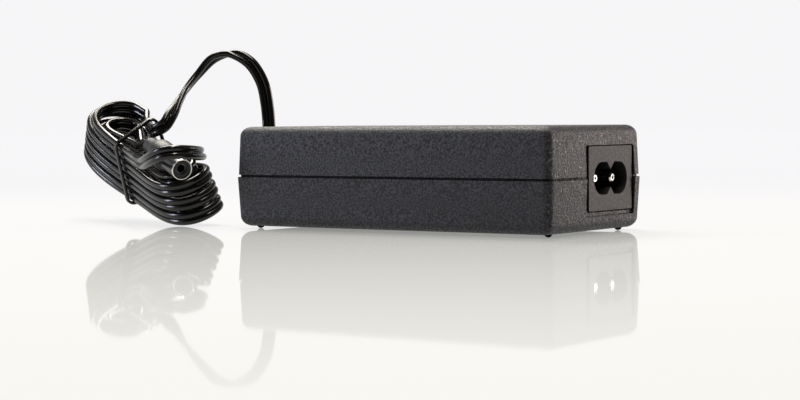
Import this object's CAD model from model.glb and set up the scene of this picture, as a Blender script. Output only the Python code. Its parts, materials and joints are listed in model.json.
"""Looks of the laptop power adapter: a black two-part case with a two-pin inlet, and its
flat twin lead, wound in a tied hank. Shapes are in millimetres until mm() turns them into
metres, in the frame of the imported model. Materials, floor and lamps are in metres."""

import json
import math

import bmesh
import bpy
from mathutils import Matrix, Vector

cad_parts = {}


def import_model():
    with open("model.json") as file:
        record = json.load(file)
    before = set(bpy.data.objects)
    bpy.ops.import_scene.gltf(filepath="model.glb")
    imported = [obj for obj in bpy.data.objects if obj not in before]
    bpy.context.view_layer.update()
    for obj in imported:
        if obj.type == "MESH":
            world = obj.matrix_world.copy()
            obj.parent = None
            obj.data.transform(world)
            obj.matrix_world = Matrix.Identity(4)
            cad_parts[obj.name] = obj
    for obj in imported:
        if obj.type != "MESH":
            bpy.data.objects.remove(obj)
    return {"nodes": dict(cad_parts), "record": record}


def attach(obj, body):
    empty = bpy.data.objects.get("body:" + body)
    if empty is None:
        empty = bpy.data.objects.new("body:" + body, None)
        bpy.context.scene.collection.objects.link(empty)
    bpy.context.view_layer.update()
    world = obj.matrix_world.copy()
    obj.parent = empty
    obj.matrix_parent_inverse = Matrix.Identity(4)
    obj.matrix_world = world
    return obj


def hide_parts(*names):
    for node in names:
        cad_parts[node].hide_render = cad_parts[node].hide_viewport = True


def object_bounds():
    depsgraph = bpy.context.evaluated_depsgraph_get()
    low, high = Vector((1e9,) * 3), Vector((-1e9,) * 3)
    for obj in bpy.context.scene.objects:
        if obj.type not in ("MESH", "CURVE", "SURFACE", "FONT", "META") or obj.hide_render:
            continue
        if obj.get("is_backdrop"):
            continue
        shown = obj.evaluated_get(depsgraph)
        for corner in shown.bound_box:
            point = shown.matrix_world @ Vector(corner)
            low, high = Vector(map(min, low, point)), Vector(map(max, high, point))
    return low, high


# ---- Case, as in the model

BODY = Vector((92.0, 45.0, 25.0))
PIP_H = 0.7
PIP_R = 0.95
PIP_INSET = (3.9, 5.7)
Z_PART = 13.05
Z_TOP = PIP_H + BODY.z
WALL = 2.0
DRAFT = 0.7
RIM_STEP = 0.2
CORNER_R = 2.2
LEAST_CORNER_R = 0.4
INSIDE_CORNER_R = 1.2
EDGE_R = 2.4
GROOVE_H = 0.6
GROOVE_D = 0.5
SKIN = WALL + DRAFT

# ---- Inlet, as in the model

INLET = (21.3, 15.3)
INLET_Y = 7.3
POCKET_DEPTH = 1.1
POCKET_LEFT = 2.0
POCKET_RIGHT = 0.7
POCKET_BELOW = 1.3
POCKET_ABOVE = 0.3
POCKET_CORNER_R = 0.6
BEZEL_GAP = 0.3
BEZEL_CORNER_R = 0.5

# ---- How finely the case and the plug are drawn

EDGE_STEPS = 12
PIP_STEPS = 8
LIP_STEPS = 8
CASE_SHARP = 35

# Pips: radius of the flat at the tip, and how far the dome runs into the case
PIP_TIP_R = 0.01
PIP_ROOT = 0.25

# How far a cutter runs past what it cuts, and how deep the next one starts in the air of
# the inlet's pocket and of the strain relief's collar
OVER = 1.0
IN_POCKET = 0.5
IN_COLLAR = 1.0

# What keeps two faces apart that would touch
SEAM = 0.02

# ---- Lead, as in the model

EXIT = Vector((-46.0, 11.0, Z_PART))
RELIEF_L = 9.0
RELIEF_R = 3.4
NECK_R = RELIEF_R - 0.9
COLLAR_DEPTH = 1.2
CORD_T = 1.8
CORD_W = 2 * CORD_T

# Section of the lead: how far round each core goes before the groove, in steps
LOBE_ANGLE = 165
LOBE_STEPS = 22

# The lead's places between the strain relief and the hank, each with the direction of
# the cord's width. X counts from the case's end.
LEAD_STEPS = 6
LEAD_ROUTE = (
    ((-15.6, 12, 15.6), (0.2, 1, 0)),
    ((-17.4, 13.6, 20), (0.5, 0.9, 0)),
    ((-18.4, 15, 26), (0.8, 0.6, 0)),
    ((-19.2, 15.2, 32), (0.8, 0.6, 0)),
    ((-20.5, 14.8, 37.8), (0.8, 0.6, 0)),
    ((-23.5, 13.4, 43), (0.7, 0.7, 0.1)),
    ((-28, 11.3, 45.5), (0.5, 0.8, 0.1)),
    ((-32.8, 9, 44.3), (0.2, 0.9, 0)),
    ((-35.8, 6.2, 40.1), (-0.2, 0.95, 0.2)),
    ((-36.6, 2, 36), (-0.4, 0.9, 0.3)),
    ((-35.6, -2.6, 32.4), (-0.5, 0.8, 0.5)),
    ((-34.9, -6.5, 28.8), (-0.3, 0.5, 0.8)),
    ((-35.3, -8.6, 26.2), (0, 0, 1)),
    ((-37.6, -9.5, 24.9), (0, 0, 1)),
    ((-40.4, -8.2, 24.9), (0.1, -0.3, 0.95)),
    ((-45.2, -4.4, 26.6), (0.2, -0.4, 0.9)),
)

# Hank: places on it go by turns. Pairs are for the lower and the upper loops.
HANK_YAW = math.radians(-24.7)
HANK_DIVE = math.radians(13)
HANK_START = 7.85
HANK_END = 0.5
HANK_STEPS = 630
LOWEST_TURN = 4
TURN_BLEND = 0.12
MIDDLE_LAYER = 2
UPPER_LAYER = 3
HANK_PITCH = 4.3
UPPER_PITCH = 4.85
INWARD_STEP = 3.65
INWARD_SPAN = 0.5
WAIST = Vector((EXIT.x - 41.6, -9.5, 15.2))
WAIST_HALF = 5
WAIST_ROLL = 24
REACH_RIGHT = (30.8, 39.2)
REACH_LEFT = (27, 22.2)
LOBE_RIGHT = (9.1, 10.6)
LOBE_LEFT = (12.8, 8.8)
RISE_RIGHT = (Vector((0, 2.5, 2.8)), Vector((0, -7.3, 9.3)))
RISE_LEFT = (Vector((0, 1.4, 6.7)), Vector((0, 0.4, 4.5)))
ROLL_RIGHT = (29, -1)
ROLL_LEFT = (18.8, 26.6)
UPPER_END = 0.94
UPPER_START = 7.05
UPPER_SPAN = (0.2, 0.28)

# Tie round the hank's waist: its place along the hank and its corners across and up it
TIE_W = 1.6
TIE_T = 0.8
TIE_ALONG = -1
TIE_BEND_R = 1.5
TIE_BEND_STEPS = 8
TIE_CORNERS = ((-4.8, -7.5), (3, -9.1), (4.9, -5), (5, 4.4), (4.5, 9.8), (-4.7, 6.9))

# Rounded rib along each edge of the tie: how far round it goes, in steps
TIE_RIB_ANGLE = 125
TIE_RIB_STEPS = 8
TIE_SHARP = 60

# Plug at the end of the lead
PLUG_REAR = Vector((EXIT.x - 32, -18.2, 21))
PLUG_DIR = Vector((19.5, -9.7, -6.1)).normalized()
PLUG_WIDTH = Vector((0, -0.2, 1))
TAIL_MIDDLE = Vector((EXIT.x - 36.9, -15.4, 20.8))
GRIP_L = 13.0
GRIP_R = 3.7
GRIP_TAIL_R = 2.1
GRIP_TAIL_BEVEL = 0.25
BARREL_L = 9.5
BARREL_R = 2.75
BARREL_WALL = 0.35
BARREL_SUNK = 4.0
BARREL_ROOT_R = BARREL_R + 0.3
RIM_L = 0.3

# Waist of the grip: share of its length, and radius
GRIP_WAIST = (
    (0.2, GRIP_TAIL_R + 0.2),
    (0.35, GRIP_TAIL_R + 0.42),
    (0.44, GRIP_TAIL_R + 0.8),
    (0.5, GRIP_R - 0.42),
    (0.56, GRIP_R - 0.08),
    (0.6, GRIP_R),
)

# Rounded front edge of the grip: distance from its end, and from its radius
GRIP_EDGE = ((0.6, 0.0), (0.25, 0.16), (0.0, 0.6))

# ---- Camera, fitted to the photograph, for a frame 800 pixels wide

CAMERA_AT = Vector((268.27, -405.32, 27.76))
CAMERA_RIGHT = Vector((0.82385, 0.56676, -0.00689))
CAMERA_UP = Vector((-0.01819, 0.03859, 0.99909))
CAMERA_FORWARD = Vector((-0.56651, 0.82298, -0.04210))
FOCAL_PX = 1955.41
FRAME_PX = 800
SENSOR = 36.0
CLIP_START = 0.01

# ---- World: its colour, its brightness as a backdrop and as a light, the side where it is
# dim, and how it fades with height in what mirrors it

WORLD_COLOUR = (0.995, 0.985, 1, 1)
BACKDROP = 0.93
WORLD_LIGHT = 0.5
DIM_SIDE = Vector((0.64, -0.77, 0))
DIM_FADE = (-0.1, 0.55)
DIM_SHARE = 0.02
HORIZON_FADE = (0.2, 0.45)
ZENITH_SHARE = 0.12

# ---- Lamps: place, size, power and colour

LAMP_AIM = Vector((0, 0, 0.01))
LAMPS = {
    "key": ((-0.45, 0.3, 0.65), (0.45, 0.3), 6.5, (1.0, 0.96, 0.88)),
    "overhead": ((0.05, 0.05, 0.8), (0.9, 0.14), 6.3, (1.0, 0.945, 0.82)),
    "left": ((-0.8, -0.6, 0.35), (0.14, 0.45), 4.0, (0.8, 0.84, 1.0)),
    "right": ((0.37, 0.76, 0.16), (0.22, 0.26), 2.1, (1.0, 0.86, 0.8)),
}

# ---- Floor: its greys for the light it returns and for the camera, the white that shows
# more with distance, and its weak mirror

FLOOR_HALF = 3.0
FLOOR_GREYS = (0.25, 0.6)
FLOOR_ROUGH = 0.6
FLOOR_WHITE = (1, 1, 0.96, 1)
FLOOR_WHITE_STRENGTH = 0.965
WHITE_SPAN = (0.16, 0.5)
WHITE_SHARES = (0.6, 1.0)
MIRROR_ROUGH = 0.03
MIRROR_IOR = 1.2
MIRROR_POWER = 3.0
MIRROR_SCALE = 1.9

# ---- Materials. Colours are a dark and a pale one, and roughness runs from least to most.

GRAIN_SPECULAR = 0.45
GRAIN_RANGE = (0.4, 0.62)
GRAIN_ROUGH = (0.5, 0.62)
SATIN = (0.2, 0.34)

# Turns of wire: their pitch, what divides a wave texture's scale for it, and their relief
WIRE_PITCH = 0.0005
WAVE_DIVISOR = 6.3
WIRE_RELIEF = 0.0002

# How dark a hollow is at least, and how open a place is where that starts and ends
HOLLOW_SHADE = 0.02
HOLLOW_RANGE = (0.35, 0.75)
GROOVE_REACH = 0.0012
SOCKET_REACH = 0.009
DIMPLE_REACH = 0.0008

# Specks of wear on the case's inlet end: their colour, their texture's scale and how much
# of it shows
SPECK_COLOUR = (0.3, 0.28, 0.25, 1)
SPECK_GRAIN = 1600
SPECK_RANGE = (0.62, 0.69)

# Colours, scale of the grain's texture, its depth and for the case its roughness
MOULDED = {
    "case_plastic": ((0.001, 0.001, 0.002), (0.046, 0.045, 0.057), 2300, 0.00018, (0.34, 0.62)),
    "socket_plastic": ((0.016, 0.0135, 0.0135), (0.027, 0.024, 0.024), 1500, 0.00002),
    "ferrite": ((0.035, 0.035, 0.037), (0.07, 0.07, 0.072), 1800, 0.00003),
    "board": ((0.36, 0.22, 0.07), (0.47, 0.31, 0.11), 900, 0.00001),
    "part_black": ((0.012, 0.012, 0.013), (0.026, 0.026, 0.028), 2000, 0.00002),
    "bobbin": ((0.56, 0.46, 0.27), (0.66, 0.56, 0.36), 1400, 0.00001),
}

# Colours, roughness and for the lead and the plug the scale and depth of their marks
GLOSSY = {
    "cord_pvc": ((0.005, 0.0045, 0.004), (0.01, 0.009, 0.008), (0.16, 0.24), 700, 0.000004),
    "plug_pvc": ((0.005, 0.0045, 0.004), (0.01, 0.009, 0.008), (0.4, 0.52), 900, 0.00001),
    "sheet": ((0.66, 0.62, 0.46), (0.75, 0.71, 0.56), (0.35, 0.5)),
    "winding_tape": ((0.66, 0.41, 0.03), (0.78, 0.52, 0.06), SATIN),
    "box_yellow": ((0.6, 0.39, 0.05), (0.72, 0.48, 0.08), (0.3, 0.42)),
    "disc_blue": ((0.025, 0.08, 0.34), (0.04, 0.12, 0.44), SATIN),
    "disc_green": ((0.03, 0.11, 0.04), (0.05, 0.17, 0.07), SATIN),
    "capacitor_sleeve": ((0.01, 0.01, 0.026), (0.02, 0.02, 0.04), SATIN),
    "wire_red": ((0.42, 0.015, 0.01), (0.54, 0.03, 0.02), SATIN),
}

# Colours and roughness
METALS = {
    "contact_metal": ((0.78, 0.76, 0.71), (0.9, 0.88, 0.84), (0.16, 0.3)),
    "barrel_metal": ((0.07, 0.07, 0.075), (0.12, 0.12, 0.12), (0.28, 0.4)),
    "clip_steel": ((0.5, 0.5, 0.5), (0.66, 0.66, 0.66), (0.28, 0.42)),
    "heatsink_aluminium": ((0.66, 0.67, 0.69), (0.8, 0.81, 0.83), (0.3, 0.45)),
    "shield_copper": ((0.62, 0.32, 0.19), (0.8, 0.46, 0.3), (0.25, 0.4)),
}
WIRE_COLOURS = ((0.3, 0.1, 0.03), (0.7, 0.32, 0.13))

# What is dark inside the plug, though its node has a brighter slot
PLUG_LOOKS = {"plug_insulator": "plug_pvc", "plug_contact": "barrel_metal"}


def mm(v):
    """Millimetres as metres, for a number or a vector."""
    return v * 0.001


# ---- Meshes


def add_object(name, data):
    """A new object in the scene, round a mesh, a lamp or a camera."""
    made = bpy.data.objects.new(name, data)
    bpy.context.scene.collection.objects.link(made)
    return made


def shade(mesh, sharp):
    """Smooth shading, except where faces meet at more than an angle in degrees."""
    mesh.shade_smooth()
    mesh.set_sharp_from_angle(angle=math.radians(sharp))


def mesh_piece(name, bm, sharp=40):
    """A new object from a bmesh, shaded smooth."""
    bmesh.ops.recalc_face_normals(bm, faces=bm.faces)
    mesh = bpy.data.meshes.new(name)
    bm.to_mesh(mesh)
    bm.free()
    shade(mesh, sharp)
    return add_object(name, mesh)


def bridge(bm, a, b):
    """Faces between two closed rings of the same number of points."""
    n = len(a)
    for i in range(n):
        j = (i + 1) % n
        bm.faces.new((a[i], a[j], b[j], b[i]))


def loft(bm, rings, close=False):
    """Skin through rings of points, with flat ends, or closed on itself."""
    made = [[bm.verts.new(mm(p)) for p in ring] for ring in rings]
    for a, b in zip(made, made[1:]):
        bridge(bm, a, b)
    if close:
        bridge(bm, made[-1], made[0])
    else:
        bm.faces.new(made[0])
        bm.faces.new(made[-1])


def rounded(half_x, half_y, r, z, steps=8):
    """Rectangle with round corners, as points at one height."""
    corners = ((1, 1, 0), (-1, 1, 90), (-1, -1, 180), (1, -1, 270))
    points = []
    for sx, sy, start in corners:
        for k in range(steps + 1):
            a = math.radians(start + 90 * k / steps)
            x = sx * (half_x - r) + r * math.cos(a)
            y = sy * (half_y - r) + r * math.sin(a)
            points.append(Vector((x, y, z)))
    return points


def turned(name, profile, place, sides=64, hollow=False):
    """A turned piece: profile is (distance along the axis, radius) and place a matrix that
    takes its own Z axis there. A hollow one has a profile that closes on itself."""
    rings = []
    for z, r in profile:
        ring = []
        for k in range(sides):
            a = 2 * math.pi * k / sides
            ring.append(place @ Vector((r * math.cos(a), r * math.sin(a), z)))
        rings.append(ring)
    bm = bmesh.new()
    loft(bm, rings, close=hollow)
    return mesh_piece(name, bm)


def cut(piece, cutter):
    """Takes one mesh away from another, and the cutter with it."""
    modifier = piece.modifiers.new("cut", "BOOLEAN")
    modifier.operation = "DIFFERENCE"
    modifier.solver = "EXACT"
    modifier.object = cutter
    graph = bpy.context.evaluated_depsgraph_get()
    mesh = bpy.data.meshes.new_from_object(piece.evaluated_get(graph))
    piece.modifiers.clear()
    old = piece.data
    piece.data = mesh
    bpy.data.meshes.remove(old)
    bpy.data.objects.remove(cutter)


def join(pieces, name, sharp):
    """One object from several, through their meshes."""
    bm = bmesh.new()
    for piece in pieces:
        bm.from_mesh(piece.data)
        bpy.data.objects.remove(piece)
    return mesh_piece(name, bm, sharp)


# ---- Cord's route


def unit(v):
    return v.normalized()


def square_to(v, along):
    """The part of a vector that is square to a direction."""
    return unit(v - v.dot(along) * along)


def ease(t):
    """Smooth step from 0 to 1."""
    t = min(max(t, 0.0), 1.0)
    return t * t * (3 - 2 * t)


def mix(pair, t):
    """Between the values of a pair."""
    return pair[0] * (1 - t) + pair[1] * t


def curve(points, steps):
    """Smooth curve through points, with a number of steps between two of them."""
    out = []
    last = len(points) - 1
    for i in range(last):
        a = points[max(i - 1, 0)]
        b = points[i]
        c = points[i + 1]
        d = points[min(i + 2, last)]
        for k in range(steps):
            t = k / steps
            bend = (2 * a - 5 * b + 4 * c - d) * t**2
            turn = (3 * b - a - 3 * c + d) * t**3
            out.append(0.5 * (2 * b + (c - a) * t + bend + turn))
    out.append(points[last])
    return out


def cross_axes(along, roll):
    """Directions across and up, square to a direction and rolled about it in degrees."""
    side = square_to(Vector((0, 1, 0)), along)
    up = along.cross(side)
    c = math.cos(math.radians(roll))
    s = math.sin(math.radians(roll))
    return side * c + up * s, up * c - side * s


HANK_AXIS = Vector((
    math.cos(HANK_YAW) * math.cos(HANK_DIVE),
    math.sin(HANK_YAW) * math.cos(HANK_DIVE),
    -math.sin(HANK_DIVE),
))
WAIST_AXES = cross_axes(HANK_AXIS, WAIST_ROLL)


def hank_point(s, across=0.0):
    """Place on the hank, moved across the cord's width."""
    level = math.hypot(s - LOWEST_TURN, TURN_BLEND) - TURN_BLEND
    layer = min(level, UPPER_LAYER)
    inward = INWARD_STEP * (1 - ease((s - LOWEST_TURN) / INWARD_SPAN + 0.5))
    upper = 1 - ease((s - UPPER_END) / UPPER_SPAN[0]) + ease((s - UPPER_START) / UPPER_SPAN[1])
    sin = math.sin(2 * math.pi * s)
    cos = math.cos(2 * math.pi * s)
    right = sin >= 0
    reach = mix(REACH_RIGHT if right else REACH_LEFT, upper)
    lobe = mix(LOBE_RIGHT if right else LOBE_LEFT, upper)
    rise = mix(RISE_RIGHT if right else RISE_LEFT, upper)
    end_roll = mix(ROLL_RIGHT if right else ROLL_LEFT, upper)
    a = sin * (reach - inward)
    b = cos * (WAIST_HALF - inward + lobe * sin**2)
    t = (a / reach) ** 2
    along = unit(HANK_AXIS + 2 * a / reach**2 * rise)
    axes = cross_axes(along, WAIST_ROLL + (end_roll - WAIST_ROLL) * t)
    up = (layer - MIDDLE_LAYER) * HANK_PITCH + across
    lift = (level - layer) * UPPER_PITCH
    return WAIST + a * HANK_AXIS + t * rise + b * axes[0] + up * axes[1] + lift * WAIST_AXES[1]


def cord_route():
    """The whole lead's centreline and the directions of its width, from the strain
    relief to the plug."""
    turns = HANK_END - HANK_START
    spots = [HANK_START + turns * k / HANK_STEPS for k in range(HANK_STEPS + 1)]
    hank = [hank_point(s) for s in spots]
    hank_width = [hank_point(s, 1.0) - hank_point(s) for s in spots]
    into = unit(hank[1] - hank[0])
    out = unit(hank[-1] - hank[-2])
    tip = EXIT - Vector((RELIEF_L, 0, 0))
    level = Vector((0, 1, 0))
    lead = [(tip, level), (tip - Vector((CORD_W, 0, 0)), level)]
    lead += [(Vector((EXIT.x, 0, 0)) + Vector(p), Vector(w)) for p, w in LEAD_ROUTE]
    lead += [(hank[0] - CORD_W * into, hank_width[0])]
    tail = [
        (hank[-1] + CORD_T * out, hank_width[-1]),
        (TAIL_MIDDLE, PLUG_WIDTH),
        (PLUG_REAR - CORD_T * PLUG_DIR, PLUG_WIDTH),
    ]
    points = [lead[0][0]] + curve([p for p, w in lead[1:]], LEAD_STEPS)
    widths = [lead[0][1]] + curve([w for p, w in lead[1:]], LEAD_STEPS)
    points += hank + curve([p for p, w in tail], LEAD_STEPS)
    widths += hank_width + curve([w for p, w in tail], LEAD_STEPS)
    points.append(PLUG_REAR)
    widths.append(PLUG_WIDTH)
    return points, widths


def directions(points):
    """The line's direction at each of its points."""
    last = len(points) - 1
    return [unit(points[min(i + 1, last)] - points[max(i - 1, 0)]) for i in range(last + 1)]


def two_arcs(middle, r, angle, steps):
    """Outline of two round cores side by side, each an arc up to an angle either way."""
    outline = []
    for side in (1, -1):
        for k in range(steps + 1):
            a = math.radians(-angle + 2 * angle * k / steps)
            outline.append((side * (middle + r * math.cos(a)), side * r * math.sin(a)))
    return outline


def make_cord(looks):
    """The flat lead, with a groove between its two cores."""
    points, widths = cord_route()
    outline = two_arcs(CORD_T / 2, CORD_T / 2, LOBE_ANGLE, LOBE_STEPS)
    rings = []
    for p, w, along in zip(points, widths, directions(points)):
        across = square_to(w, along)
        thick = along.cross(across)
        rings.append([p + x * across + y * thick for x, y in outline])
    bm = bmesh.new()
    loft(bm, rings)
    piece = mesh_piece("cord", bm)
    place_piece(piece, looks["cord_pvc"], "cord_pvc", "cord_lead", "cord_hank", "cord_tail")
    return piece, points


# ---- Materials


class Tree:
    """A shader's node tree, with short ways to add what it needs."""

    def __init__(self, tree):
        self.tree = tree

    def add(self, kind, **values):
        node = self.tree.nodes.new(kind)
        for key, value in values.items():
            if key in node.inputs:
                node.inputs[key].default_value = value
            else:
                setattr(node, key, value)
        return node

    def link(self, out, into):
        self.tree.links.new(out, into)

    def feed(self, value, into):
        """Links a socket, or sets a plain value."""
        if isinstance(value, bpy.types.NodeSocket):
            self.link(value, into)
        else:
            into.default_value = value

    def math(self, operation, a, b, clamp=False):
        node = self.add("ShaderNodeMath", operation=operation, use_clamp=clamp)
        for value, into in zip((a, b), node.inputs):
            self.feed(value, into)
        return node.outputs["Value"]

    def fade(self, value, span, shares):
        """A smooth step: from one share to another while a value crosses a span."""
        node = self.add("ShaderNodeMapRange", interpolation_type="SMOOTHSTEP")
        names = ("Value", "From Min", "From Max", "To Min", "To Max")
        for name, setting in zip(names, (value, *span, *shares)):
            self.feed(setting, node.inputs[name])
        return node.outputs["Result"]

    def mix(self, factor, a, b, **kind):
        """One value or colour over another."""
        node = self.add("ShaderNodeMix", **kind)
        for name, value in (("Factor", factor), ("A", a), ("B", b)):
            self.feed(value, node.inputs[name])
        return node.outputs["Result"]

    def cover(self, factor, under, over):
        """One shader over another."""
        node = self.add("ShaderNodeMixShader")
        for out, into in zip((factor, under, over), node.inputs):
            self.link(out, into)
        return node.outputs["Shader"]

    def ramp(self, value, low, high, start=0.3, end=0.7):
        """A colour, or with numbers a grey, that follows a value."""
        node = self.add("ShaderNodeValToRGB")
        self.link(value, node.inputs["Fac"])
        stops = node.color_ramp.elements
        for stop, at, tone in ((stops[0], start, low), (stops[1], end, high)):
            stop.position = at
            stop.color = (*tone, 1) if isinstance(tone, tuple) else (tone, tone, tone, 1)
        return node.outputs["Color"]

    def coordinates(self, kind):
        """One of the kinds of place or direction that a texture can follow."""
        return self.add("ShaderNodeTexCoord").outputs[kind]


class Look(Tree):
    """A new material and its node tree."""

    def __init__(self, name):
        self.material = bpy.data.materials.new(name)
        self.material.use_nodes = True
        super().__init__(self.material.node_tree)
        self.shader = self.tree.nodes["Principled BSDF"]
        self.inputs = self.shader.inputs

    def noise(self, scale, detail=4.0, rough=0.55):
        node = self.add("ShaderNodeTexNoise", Scale=scale, Detail=detail, Roughness=rough)
        self.link(self.coordinates("Object"), node.inputs["Vector"])
        return node.outputs["Fac"]

    def vary(self, socket, value, low, high, *span):
        """Lets one of the shader's inputs follow a value."""
        self.link(self.ramp(value, low, high, *span), self.inputs[socket])

    def bump(self, value, distance, strength=1.0, under=None):
        node = self.add("ShaderNodeBump", Distance=distance, Strength=strength)
        self.link(value, node.inputs["Height"])
        if under is not None:
            self.link(under, node.inputs["Normal"])
        self.link(node.outputs["Normal"], self.inputs["Normal"])
        return node.outputs["Normal"]

    def base_colour(self):
        """What feeds the shader's colour so far."""
        return self.inputs["Base Color"].links[0].from_socket

    def darken_hollows(self, reach):
        """Makes grooves and holes darker. Returns how open each place is."""
        near = self.add("ShaderNodeAmbientOcclusion", Distance=reach)
        tone = self.ramp(near.outputs["AO"], HOLLOW_SHADE, 1.0, *HOLLOW_RANGE)
        kind = {"data_type": "RGBA", "blend_type": "MULTIPLY"}
        self.link(self.mix(1.0, self.base_colour(), tone, **kind), self.inputs["Base Color"])
        return near.outputs["AO"]


def moulded(name, low, high, grain, depth, rough=GRAIN_ROUGH):
    """Moulded plastic with a spark-eroded grain, whose tops are paler and smoother."""
    look = Look(name)
    tops = look.noise(grain, detail=3)
    look.vary("Base Color", tops, low, high, *GRAIN_RANGE)
    look.vary("Roughness", tops, rough[1], rough[0], *GRAIN_RANGE)
    look.inputs["Specular IOR Level"].default_value = GRAIN_SPECULAR
    coarse = look.bump(look.noise(grain * 0.55, detail=2), depth * 1.4, strength=0.5)
    look.bump(look.noise(grain, detail=5, rough=0.7), depth, under=coarse)
    return look


def glossy(name, low, high, rough, grain=900, depth=0.00002):
    """Smooth plastic, rubber or lacquer, with faint drawing marks and dust."""
    look = Look(name)
    look.vary("Base Color", look.noise(grain), low, high)
    look.vary("Roughness", look.noise(grain * 0.5), *rough)
    look.bump(look.noise(grain, detail=2, rough=0.5), depth, strength=0.6)
    return look


def metal(name, low, high, rough, grain=700, depth=0.000008):
    """Drawn or plated metal, with faint marks."""
    look = Look(name)
    look.vary("Base Color", look.noise(grain * 0.3), low, high)
    look.vary("Roughness", look.noise(grain), *rough)
    look.inputs["Metallic"].default_value = 1.0
    look.bump(look.noise(grain), depth, strength=0.5)
    return look


def turns_of_wire(name, low, high, pitch):
    """Enamelled wire in close turns."""
    look = Look(name)
    scale = 1 / pitch / WAVE_DIVISOR
    wave = look.add("ShaderNodeTexWave", Scale=scale, Distortion=0.6, Detail=2.0)
    wave.bands_direction = "DIAGONAL"
    look.link(look.coordinates("Object"), wave.inputs["Vector"])
    look.vary("Base Color", wave.outputs["Fac"], low, high)
    look.inputs["Metallic"].default_value = 0.7
    look.inputs["Roughness"].default_value = 0.32
    look.bump(wave.outputs["Fac"], WIRE_RELIEF, strength=0.8)
    return look


def finish_case(look):
    """A black dull groove, and pale specks of wear on the end that takes the mains plug."""
    openness = look.darken_hollows(GROOVE_REACH)
    look.vary("Specular IOR Level", openness, 0.0, GRAIN_SPECULAR, *HOLLOW_RANGE)
    specks = look.ramp(look.noise(SPECK_GRAIN, detail=2), 0.0, 1.0, *SPECK_RANGE)
    facing = look.add("ShaderNodeSeparateXYZ")
    look.link(look.coordinates("Normal"), facing.inputs["Vector"])
    share = look.math("MULTIPLY", specks, facing.outputs["X"], clamp=True)
    worn = look.mix(share, look.base_colour(), SPECK_COLOUR, data_type="RGBA")
    look.link(worn, look.inputs["Base Color"])


def materials():
    """All materials by name."""
    looks = {name: moulded(name, *row) for name, row in MOULDED.items()}
    looks |= {name: glossy(name, *row) for name, row in GLOSSY.items()}
    looks |= {name: metal(name, *row) for name, row in METALS.items()}
    looks["coil_wire"] = turns_of_wire("coil_wire", *WIRE_COLOURS, WIRE_PITCH)
    finish_case(looks["case_plastic"])
    looks["socket_plastic"].darken_hollows(SOCKET_REACH)
    looks["contact_metal"].darken_hollows(DIMPLE_REACH)
    return {name: look.material for name, look in looks.items()}


def dress(piece, material):
    """Gives a piece one material in place of what it has."""
    piece.data.materials.clear()
    piece.data.materials.append(material)


def place_piece(piece, material, slot, *nodes):
    """Gives a piece its look and says what it rides on and which nodes it replaces."""
    dress(piece, material)
    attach(piece, "root")
    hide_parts(*nodes)


# ---- Case shells


def shell_half(height, step, z_of):
    """Rings of a shell from its rim over its edge to its flat face."""
    lean = (DRAFT - step) / height
    half = (height - EDGE_R) / 2
    layers = [(step, 0.0), (step + lean * half, half)]
    for i in range(EDGE_STEPS + 1):
        a = math.radians(90 * i / EDGE_STEPS)
        z = height - EDGE_R + EDGE_R * math.sin(a)
        layers.append((step + lean * z + EDGE_R * (1 - math.cos(a)), z))
    rings = []
    for inset, z in layers:
        r = max(CORNER_R - inset / 2, LEAST_CORNER_R)
        rings.append(rounded(BODY.x / 2 - inset, BODY.y / 2 - inset, r, z_of(z)))
    return rings


def cup(outside, rim, inside_top):
    """Closed shell: rings outside, then over the rim and inside up to the ceiling."""
    half_x = BODY.x / 2 - SKIN
    half_y = BODY.y / 2 - SKIN
    rings = list(reversed(outside)) + rim
    for z in (rings[-1][0].z, inside_top):
        rings.append(rounded(half_x, half_y, INSIDE_CORNER_R, z))
    bm = bmesh.new()
    loft(bm, rings)
    return bm


def block_x(x0, x1, y, z, size, r, steps=5):
    """Block with rounded corners along X, as a cutter."""
    rings = []
    for x in (x0, x1):
        outline = rounded(size[0] / 2, size[1] / 2, r, 0, steps)
        rings.append([Vector((x, y + p.x, z + p.y)) for p in outline])
    bm = bmesh.new()
    loft(bm, rings)
    return mesh_piece("cutter", bm)


def rod_x(x0, x1, y, z, r, sides=48):
    """Rod along X, as a cutter."""
    place = Matrix.Translation((x0, y, z)) @ Matrix.Rotation(math.radians(90), 4, "Y")
    return turned("cutter", [(0, r), (x1 - x0, r)], place, sides)


def open_ends(piece):
    """Cuts the inlet's pocket and opening and the strain relief's collar and neck."""
    end = BODY.x / 2
    pocket = (INLET[0] + POCKET_LEFT + POCKET_RIGHT, INLET[1] + POCKET_BELOW + POCKET_ABOVE)
    pocket_y = INLET_Y + (POCKET_RIGHT - POCKET_LEFT) / 2
    pocket_z = Z_PART + (POCKET_ABOVE - POCKET_BELOW) / 2
    pocket_x = end - POCKET_DEPTH
    cut(piece, block_x(pocket_x, end + OVER, pocket_y, pocket_z, pocket, POCKET_CORNER_R))
    opening = (INLET[0] + 2 * BEZEL_GAP, INLET[1] + 2 * BEZEL_GAP)
    inside_x = end - SKIN - OVER
    in_pocket_x = end - IN_POCKET
    cut(piece, block_x(inside_x, in_pocket_x, INLET_Y, Z_PART, opening, BEZEL_CORNER_R))
    cut(piece, rod_x(-end - OVER, -end + COLLAR_DEPTH, EXIT.y, Z_PART, RELIEF_R))
    in_collar_x = -end + IN_COLLAR
    cut(piece, rod_x(in_collar_x, -end + SKIN + OVER, EXIT.y, Z_PART, NECK_R))
    shade(piece.data, CASE_SHARP)


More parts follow.
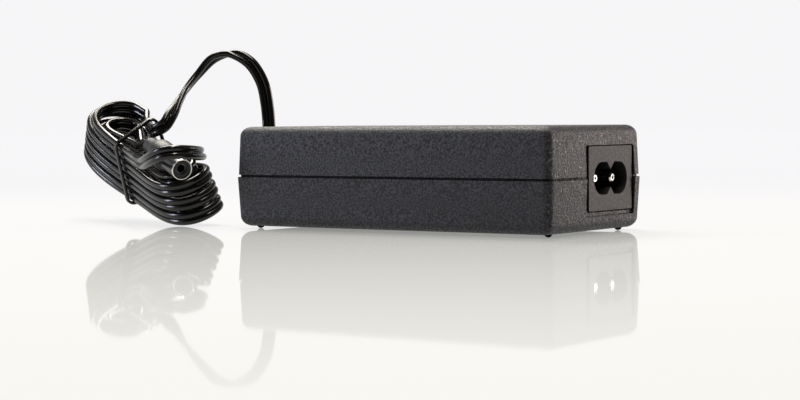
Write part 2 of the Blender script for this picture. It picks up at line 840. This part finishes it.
def upper_shell():
    """The upper shell, whose foot stands back behind the groove along the parting line."""
    outside = shell_half(Z_TOP - Z_PART, RIM_STEP, lambda z: Z_PART + z)
    half_x = BODY.x / 2 - RIM_STEP
    half_y = BODY.y / 2 - RIM_STEP
    lip_z = Z_PART + GROOVE_H
    outside[0] = rounded(half_x, half_y, CORNER_R, lip_z)
    rim = []
    for z in (lip_z, Z_PART + SEAM):
        rim.append(rounded(half_x - GROOVE_D, half_y - GROOVE_D, CORNER_R - GROOVE_D, z))
    piece = mesh_piece("upper_case", cup(outside, rim, Z_TOP - WALL))
    open_ends(piece)
    return piece


def pip(place, sides=32):
    """Low dome with its top in the case's underside."""
    r = (PIP_R**2 + PIP_H**2) / (2 * PIP_H)
    profile = [(0.0, PIP_TIP_R)]
    for k in range(1, PIP_STEPS + 1):
        z = (PIP_H + PIP_ROOT) * k / PIP_STEPS
        profile.append((z, math.sqrt(max(r**2 - (r - z) ** 2, 0.0))))
    return turned("pip", profile, place, sides)


def lower_shell():
    """The lower shell with its four pips."""
    outside = shell_half(Z_PART - PIP_H, 0.0, lambda z: Z_PART - z)
    wall = mesh_piece("lower_case_wall", cup(outside, [], PIP_H + WALL))
    open_ends(wall)
    pieces = [wall]
    for sx in (-1, 1):
        for sy in (-1, 1):
            at = (sx * (BODY.x / 2 - PIP_INSET[0]), sy * (BODY.y / 2 - PIP_INSET[1]), 0)
            pieces.append(pip(Matrix.Translation(at)))
    return join(pieces, "lower_case", CASE_SHARP)


def make_case(looks):
    for piece, node in ((upper_shell(), "upper_shell"), (lower_shell(), "lower_shell")):
        place_piece(piece, looks["case_plastic"], "case_plastic", node)


# ---- Tie and plug


def band_outline(corners, r, steps):
    """Outline round circles on the corners of a convex shape."""
    points = []
    n = len(corners)
    for i, (x, y) in enumerate(corners):
        before = (x - corners[i - 1][0], y - corners[i - 1][1])
        after = (corners[(i + 1) % n][0] - x, corners[(i + 1) % n][1] - y)
        start = math.atan2(before[1], before[0]) - math.pi / 2
        turn = (math.atan2(after[1], after[0]) - math.pi / 2 - start) % (2 * math.pi)
        for k in range(steps + 1):
            a = start + turn * k / steps
            points.append((x + r * math.cos(a), y + r * math.sin(a)))
    return points


def make_tie(looks):
    """Flat band round the hank's waist, with a rounded rib along each edge."""
    mid = TIE_T / 2
    at = WAIST + TIE_ALONG * HANK_AXIS
    path = band_outline(TIE_CORNERS, TIE_BEND_R + mid, TIE_BEND_STEPS)
    path = [at + x * WAIST_AXES[0] + y * WAIST_AXES[1] for x, y in path]
    outline = two_arcs(TIE_W / 2 - mid, mid, TIE_RIB_ANGLE, TIE_RIB_STEPS)
    rings = []
    n = len(path)
    for i, p in enumerate(path):
        along = unit(path[(i + 1) % n] - path[i - 1])
        thick = along.cross(HANK_AXIS)
        rings.append([p + x * HANK_AXIS + y * thick for x, y in outline])
    bm = bmesh.new()
    loft(bm, rings, close=True)
    piece = mesh_piece("tie", bm, TIE_SHARP)
    place_piece(piece, looks["cord_pvc"], "cord_pvc", "cord_tie")
    return piece


def sleeve_profile(rim_start):
    """The barrel's dark part, with its thicker root in the grip."""
    inner = BARREL_R - BARREL_WALL
    root = GRIP_L - BARREL_SUNK
    return [
        (root, inner),
        (root, BARREL_ROOT_R),
        (GRIP_L - SEAM, BARREL_ROOT_R),
        (GRIP_L, BARREL_R),
        (rim_start, BARREL_R),
        (rim_start, inner),
    ]


def rim_profile(rim_start):
    """The barrel's bright end, with a round lip."""
    r = BARREL_WALL / 2
    tip = GRIP_L + BARREL_L
    profile = [(rim_start, BARREL_R - BARREL_WALL), (rim_start, BARREL_R)]
    for k in range(LIP_STEPS + 1):
        a = math.pi * k / LIP_STEPS
        profile.append((tip - r + r * math.sin(a), BARREL_R - r + r * math.cos(a)))
    return profile


def grip_profile():
    """The grip from its tail over its waist and front edge to the barrel's root."""
    profile = [(0.0, GRIP_TAIL_R - GRIP_TAIL_BEVEL), (GRIP_TAIL_BEVEL, GRIP_TAIL_R)]
    profile += [(GRIP_L * share, r) for share, r in GRIP_WAIST]
    profile += [(GRIP_L - back, GRIP_R - inset) for back, inset in GRIP_EDGE]
    profile += [(z, BARREL_ROOT_R) for z in (GRIP_L, GRIP_L - BARREL_SUNK)]
    return profile


def make_plug(looks):
    """Barrel of dark nickel with a bright rim, and the grip moulded over the cord."""
    place = Matrix.Translation(PLUG_REAR) @ PLUG_DIR.to_track_quat("Z", "Y").to_matrix().to_4x4()
    rim_start = GRIP_L + BARREL_L - RIM_L
    sleeve = turned("plug_sleeve", sleeve_profile(rim_start), place, hollow=True)
    rim = turned("plug_rim", rim_profile(rim_start), place, hollow=True)
    grip = turned("plug_handle", grip_profile(), place)
    place_piece(sleeve, looks["barrel_metal"], "barrel_metal", "plug_barrel")
    place_piece(rim, looks["contact_metal"], "contact_metal", "plug_barrel")
    place_piece(grip, looks["plug_pvc"], "cord_pvc", "plug_grip")
    return [sleeve, rim, grip]


# ---- Stage, lamps and camera


def make_camera():
    data = bpy.data.cameras.new("camera")
    data.sensor_width = SENSOR
    data.lens = FOCAL_PX * SENSOR / FRAME_PX
    data.clip_start = CLIP_START
    camera = add_object("camera", data)
    axes = Matrix((CAMERA_RIGHT, CAMERA_UP, -CAMERA_FORWARD)).transposed()
    camera.matrix_world = Matrix.Translation(mm(CAMERA_AT)) @ axes.to_4x4()
    bpy.context.scene.camera = camera


def area_lamp(name, at, size, power, colour):
    """Rectangular lamp that faces the object."""
    data = bpy.data.lights.new(name, "AREA")
    data.shape = "RECTANGLE"
    data.size, data.size_y = size
    data.energy = power
    data.color = colour
    lamp = add_object(name, data)
    lamp.location = at
    lamp.rotation_euler = (LAMP_AIM - Vector(at)).to_track_quat("-Z", "Y").to_euler()


def floor_material():
    """White acrylic: grey near the object, where its shadow shows, and whiter far off. It
    mirrors weakly, and most at a low angle."""
    look = Look("floor_acrylic")
    rays = look.add("ShaderNodeLightPath").outputs
    look.vary("Base Color", rays["Is Camera Ray"], *FLOOR_GREYS, 0.0, 1.0)
    look.inputs["Roughness"].default_value = FLOOR_ROUGH
    look.inputs["Specular IOR Level"].default_value = 0.0
    distance = look.add("ShaderNodeVectorMath", operation="LENGTH")
    look.link(look.coordinates("Object"), distance.inputs[0])
    share = look.fade(distance.outputs["Value"], WHITE_SPAN, WHITE_SHARES)
    direct = look.math("MAXIMUM", rays["Is Camera Ray"], rays["Is Glossy Ray"])
    seen = look.math("MAXIMUM", direct, rays["Is Transmission Ray"])
    glow = look.add("ShaderNodeEmission", Color=FLOOR_WHITE, Strength=FLOOR_WHITE_STRENGTH)
    white = look.math("MULTIPLY", seen, share)
    sheet = look.cover(white, look.shader.outputs["BSDF"], glow.outputs["Emission"])
    mirror = look.add("ShaderNodeBsdfGlossy", Color=(1, 1, 1, 1), Roughness=MIRROR_ROUGH)
    fresnel = look.add("ShaderNodeFresnel", IOR=MIRROR_IOR)
    low_angle = look.math("POWER", fresnel.outputs["Fac"], MIRROR_POWER)
    mirrored = look.math("MULTIPLY", low_angle, MIRROR_SCALE, clamp=True)
    surface = look.cover(mirrored, sheet, mirror.outputs["BSDF"])
    look.link(surface, look.tree.nodes["Material Output"].inputs["Surface"])
    return look.material


def make_floor():
    """A wide sheet under the object."""
    bm = bmesh.new()
    for sx, sy in ((-1, -1), (1, -1), (1, 1), (-1, 1)):
        bm.verts.new((sx * FLOOR_HALF, sy * FLOOR_HALF, 0))
    bm.faces.new(bm.verts)
    mesh = bpy.data.meshes.new("floor")
    bm.to_mesh(mesh)
    bm.free()
    mesh.materials.append(floor_material())
    add_object("floor", mesh)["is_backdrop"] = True


def make_world():
    """Pale backdrop, dim towards the camera and its right, where the object's corner looks.
    Gloss sees it only near the horizon, and the camera sees it plain."""
    world = bpy.data.worlds.new("studio")
    world.use_nodes = True
    bpy.context.scene.world = world
    sky = Tree(world.node_tree)
    way = sky.coordinates("Generated")
    facing = sky.add("ShaderNodeVectorMath", operation="DOT_PRODUCT")
    sky.link(way, facing.inputs[0])
    facing.inputs[1].default_value = DIM_SIDE
    split = sky.add("ShaderNodeSeparateXYZ")
    sky.link(way, split.inputs["Vector"])
    pale = sky.fade(facing.outputs["Value"], DIM_FADE, (1.0, DIM_SHARE))
    low = sky.fade(split.outputs["Z"], HORIZON_FADE, (1.0, ZENITH_SHARE))
    rays = sky.add("ShaderNodeLightPath").outputs
    seen = sky.math("MAXIMUM", rays["Is Camera Ray"], rays["Is Transmission Ray"])
    gloss = sky.math("MULTIPLY", sky.math("MULTIPLY", pale, low), BACKDROP)
    light = sky.math("MULTIPLY", pale, WORLD_LIGHT)
    indirect = sky.mix(rays["Is Glossy Ray"], light, gloss)
    backdrop = sky.tree.nodes["Background"]
    backdrop.inputs["Color"].default_value = WORLD_COLOUR
    sky.link(sky.mix(seen, indirect, BACKDROP), backdrop.inputs["Strength"])


def make_stage():
    make_floor()
    make_world()
    for name, row in LAMPS.items():
        area_lamp(name, *row)
    bpy.context.scene.view_settings.view_transform = "Standard"


# ---- The whole


def main():
    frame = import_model()
    cad_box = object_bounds()
    make_camera()
    looks = materials()
    cord, points = make_cord(looks)
    tie = make_tie(looks)
    make_case(looks)
    plug = make_plug(looks)
    slots = {row["node"]: row["material_slot"] for row in frame["record"]["subparts"]}
    for name, node in frame["nodes"].items():
        dress(node, looks[PLUG_LOOKS.get(name, slots[name])])
    make_stage()
    boxes = {"cad": cad_box, "visual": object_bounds()}
    boxes = {key: [[float(x) for x in corner] for corner in box] for key, box in boxes.items()}


main()
